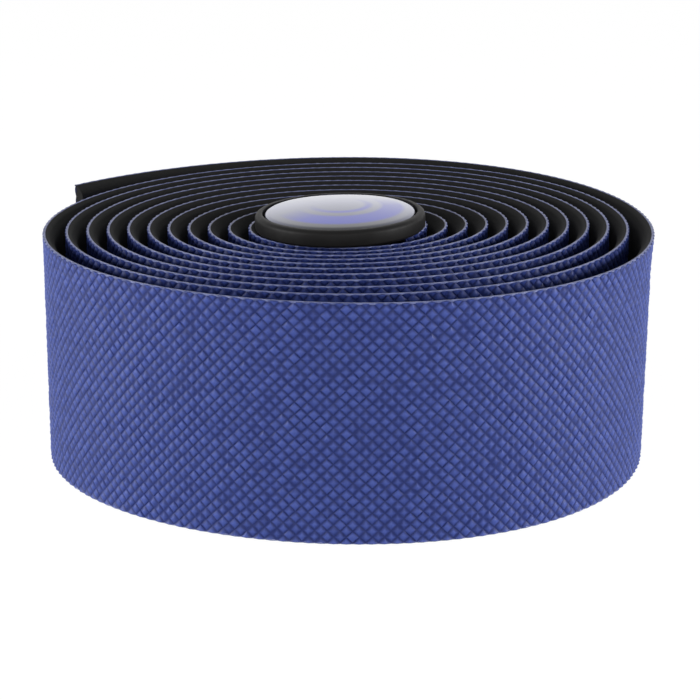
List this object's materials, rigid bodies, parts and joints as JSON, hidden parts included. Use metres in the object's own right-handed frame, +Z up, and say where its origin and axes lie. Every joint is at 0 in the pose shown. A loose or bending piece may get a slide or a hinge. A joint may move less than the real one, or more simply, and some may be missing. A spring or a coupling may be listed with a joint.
{
  "type": "handlebar tape roll",
  "caption": "Roll of padded handlebar tape wound in a loose spiral, with a domed bar end plug seated in its core.",
  "frame": {"origin": "on the surface that the roll stands on, below the middle of its outline", "axes": "+Z up along the axis of the roll, -Y towards the front, the free outer end lies at the back left"},
  "size_m": [0.0794, 0.0804, 0.0335],
  "materials": {
    "tape": "embossed matt skin over black foam",
    "plug": "moulded black, satin rim",
    "insert": "clear gloss dome over a silver ground"
  },
  "bodies": {
    "root": {"handlebar_tape": "tape", "bar_end_plug": "plug", "plug_insert": "insert"}
  },
  "joints": []
}
